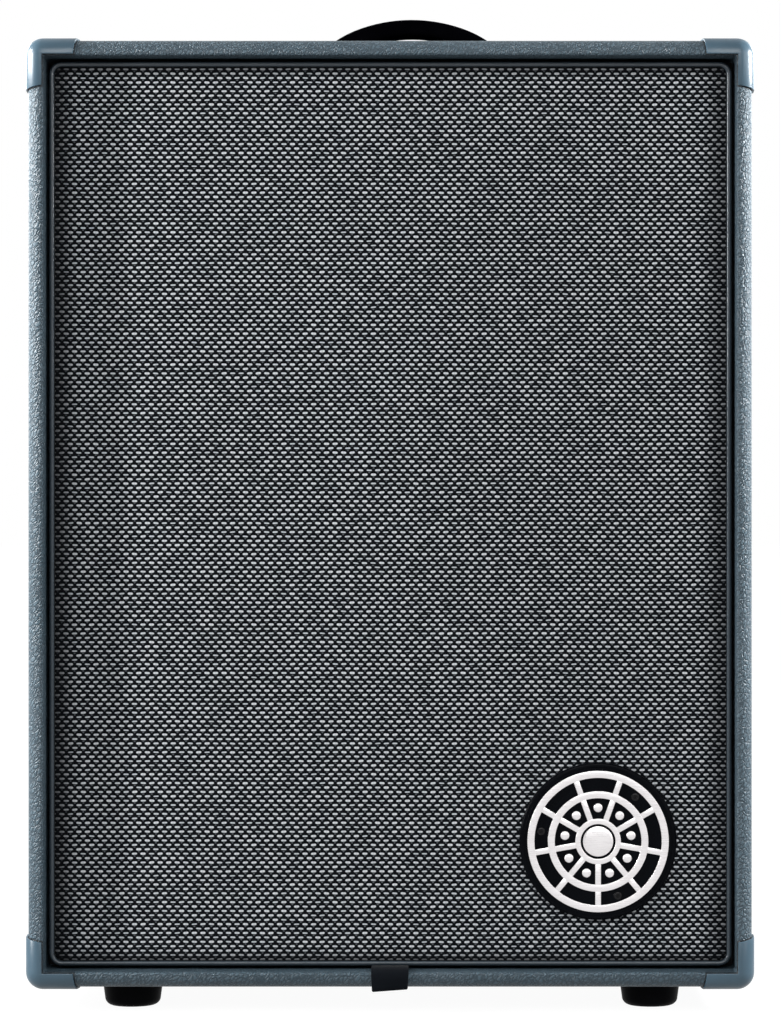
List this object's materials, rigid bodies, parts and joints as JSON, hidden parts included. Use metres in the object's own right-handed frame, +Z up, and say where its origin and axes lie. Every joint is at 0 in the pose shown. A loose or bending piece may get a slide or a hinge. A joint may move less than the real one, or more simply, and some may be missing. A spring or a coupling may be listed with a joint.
{
  "type": "bass combo amplifier",
  "caption": "Upright bass combo amplifier: covered cabinet with cloth grille, round badge, moulded corners, strap handle, rubber feet and a rear control panel",
  "frame": {"origin": "On the floor under the middle of the cabinet, at the centre of the bounding box seen from above", "axes": "+Z is up, -Y is the front with the grille, +X is to the right as the front is seen"},
  "size_m": [0.4582, 0.4145, 0.6504],
  "materials": {
    "vinyl": "grained blue-grey vinyl, satin",
    "corner_plastic": "smooth moulded corners in the vinyl's colour",
    "plywood": "bare plywood",
    "black_paint": "board painted matt black",
    "black_rubber": "matt black rubber",
    "black_plastic": "moulded black plastic",
    "grille_cloth": "dark cloth woven with silver-grey flecks",
    "piping": "glossy blue-grey cord",
    "webbing": "black webbing",
    "silver": "polished silver",
    "steel": "zinc-plated steel",
    "black_metal": "black powder coat",
    "cone_fibre": "pressed black fibre",
    "circuit_board": "green board with black parts",
    "aluminium": "bare extruded aluminium"
  },
  "bodies": {
    "cabinet": {"vinyl_covering": "vinyl", "corner_protector_front_top_left": "corner_plastic", "corner_protector_front_top_right": "corner_plastic", "corner_protector_front_bottom_left": "corner_plastic", "corner_protector_front_bottom_right": "corner_plastic", "corner_protector_rear_top_left": "corner_plastic", "corner_protector_rear_top_right": "corner_plastic", "corner_protector_rear_bottom_left": "corner_plastic", "corner_protector_rear_bottom_right": "corner_plastic", "top_panel": "plywood", "bottom_panel": "plywood", "left_side_panel": "plywood", "right_side_panel": "plywood", "rear_batten_frame": "plywood", "baffle_board": "black_paint", "back_panel": "black_paint", "foot_front_left": "black_rubber", "foot_front_right": "black_rubber", "foot_rear_left": "black_rubber", "foot_rear_right": "black_rubber", "handle_strap": "black_rubber", "upper_woofer_surround": "black_rubber", "lower_woofer_surround": "black_rubber", "handle_end_cap_left": "black_plastic", "handle_end_cap_right": "black_plastic", "tweeter_horn": "black_plastic", "port_tube": "black_plastic", "speaker_output_socket": "black_plastic", "mains_inlet": "black_plastic", "fan_housing": "black_plastic", "fastening_strip_top": "webbing", "fastening_strip_bottom": "webbing", "upper_woofer_magnet": "steel", "lower_woofer_magnet": "steel", "amp_chassis": "steel", "input_jack": "steel", "di_connector": "steel", "upper_woofer_basket": "black_metal", "lower_woofer_basket": "black_metal", "tweeter_driver": "black_metal", "control_panel": "black_metal", "circuit_board": "circuit_board", "crossover_board": "circuit_board", "heat_sink": "aluminium"},
    "grille": {"grille_frame": "black_paint", "grille_cloth": "grille_cloth", "grille_piping": "piping", "grille_badge": "black_plastic", "badge_inlay": "silver", "pull_tab": "webbing"},
    "gain_knob": {"gain_knob": "black_plastic"},
    "bass_knob": {"bass_knob": "black_plastic"},
    "mid_knob": {"mid_knob": "black_plastic"},
    "treble_knob": {"treble_knob": "black_plastic"},
    "volume_knob": {"volume_knob": "black_plastic"},
    "mute_button": {"mute_button": "black_plastic"},
    "power_rocker": {"power_rocker": "black_plastic"},
    "fan_rotor": {"fan_rotor": "black_plastic"},
    "upper_cone": {"upper_woofer_cone": "cone_fibre"},
    "lower_cone": {"lower_woofer_cone": "cone_fibre"}
  },
  "joints": [
    {"name": "grille_pull", "type": "slide", "parent": "cabinet", "child": "grille", "axis": [0, -1, 0], "range_m": [0, 0.12]},
    {"name": "gain_turn", "type": "hinge", "parent": "cabinet", "child": "gain_knob", "pos_m": [0.06, 0.1793, 0.5426], "axis": [0, 1, 0], "range_deg": [-140, 140]},
    {"name": "bass_turn", "type": "hinge", "parent": "cabinet", "child": "bass_knob", "pos_m": [0.01, 0.1793, 0.5426], "axis": [0, 1, 0], "range_deg": [-140, 140]},
    {"name": "mid_turn", "type": "hinge", "parent": "cabinet", "child": "mid_knob", "pos_m": [-0.04, 0.1793, 0.5426], "axis": [0, 1, 0], "range_deg": [-140, 140]},
    {"name": "treble_turn", "type": "hinge", "parent": "cabinet", "child": "treble_knob", "pos_m": [-0.09, 0.1793, 0.5426], "axis": [0, 1, 0], "range_deg": [-140, 140]},
    {"name": "volume_turn", "type": "hinge", "parent": "cabinet", "child": "volume_knob", "pos_m": [-0.14, 0.1793, 0.5426], "axis": [0, 1, 0], "range_deg": [-140, 140]},
    {"name": "mute_press", "type": "slide", "parent": "cabinet", "child": "mute_button", "axis": [0, -1, 0], "range_m": [0, 0.0025], "stiffness_N_per_m": 300, "springref_m": -0.001},
    {"name": "power_rock", "type": "hinge", "parent": "cabinet", "child": "power_rocker", "pos_m": [-0.1045, 0.1826, 0.4846], "axis": [1, 0, 0], "range_deg": [0, 24]},
    {"name": "fan_spin", "type": "hinge", "parent": "cabinet", "child": "fan_rotor", "pos_m": [0.03, 0.167, 0.4846], "axis": [0, 1, 0], "continuous": true},
    {"name": "upper_cone_travel", "type": "slide", "parent": "cabinet", "child": "upper_cone", "axis": [0, -1, 0], "range_m": [-0.005, 0.005], "stiffness_N_per_m": 3000, "deforming": ["upper_woofer_surround"]},
    {"name": "lower_cone_travel", "type": "slide", "parent": "cabinet", "child": "lower_cone", "axis": [0, -1, 0], "range_m": [-0.005, 0.005], "stiffness_N_per_m": 3000, "deforming": ["lower_woofer_surround"]}
  ]
}
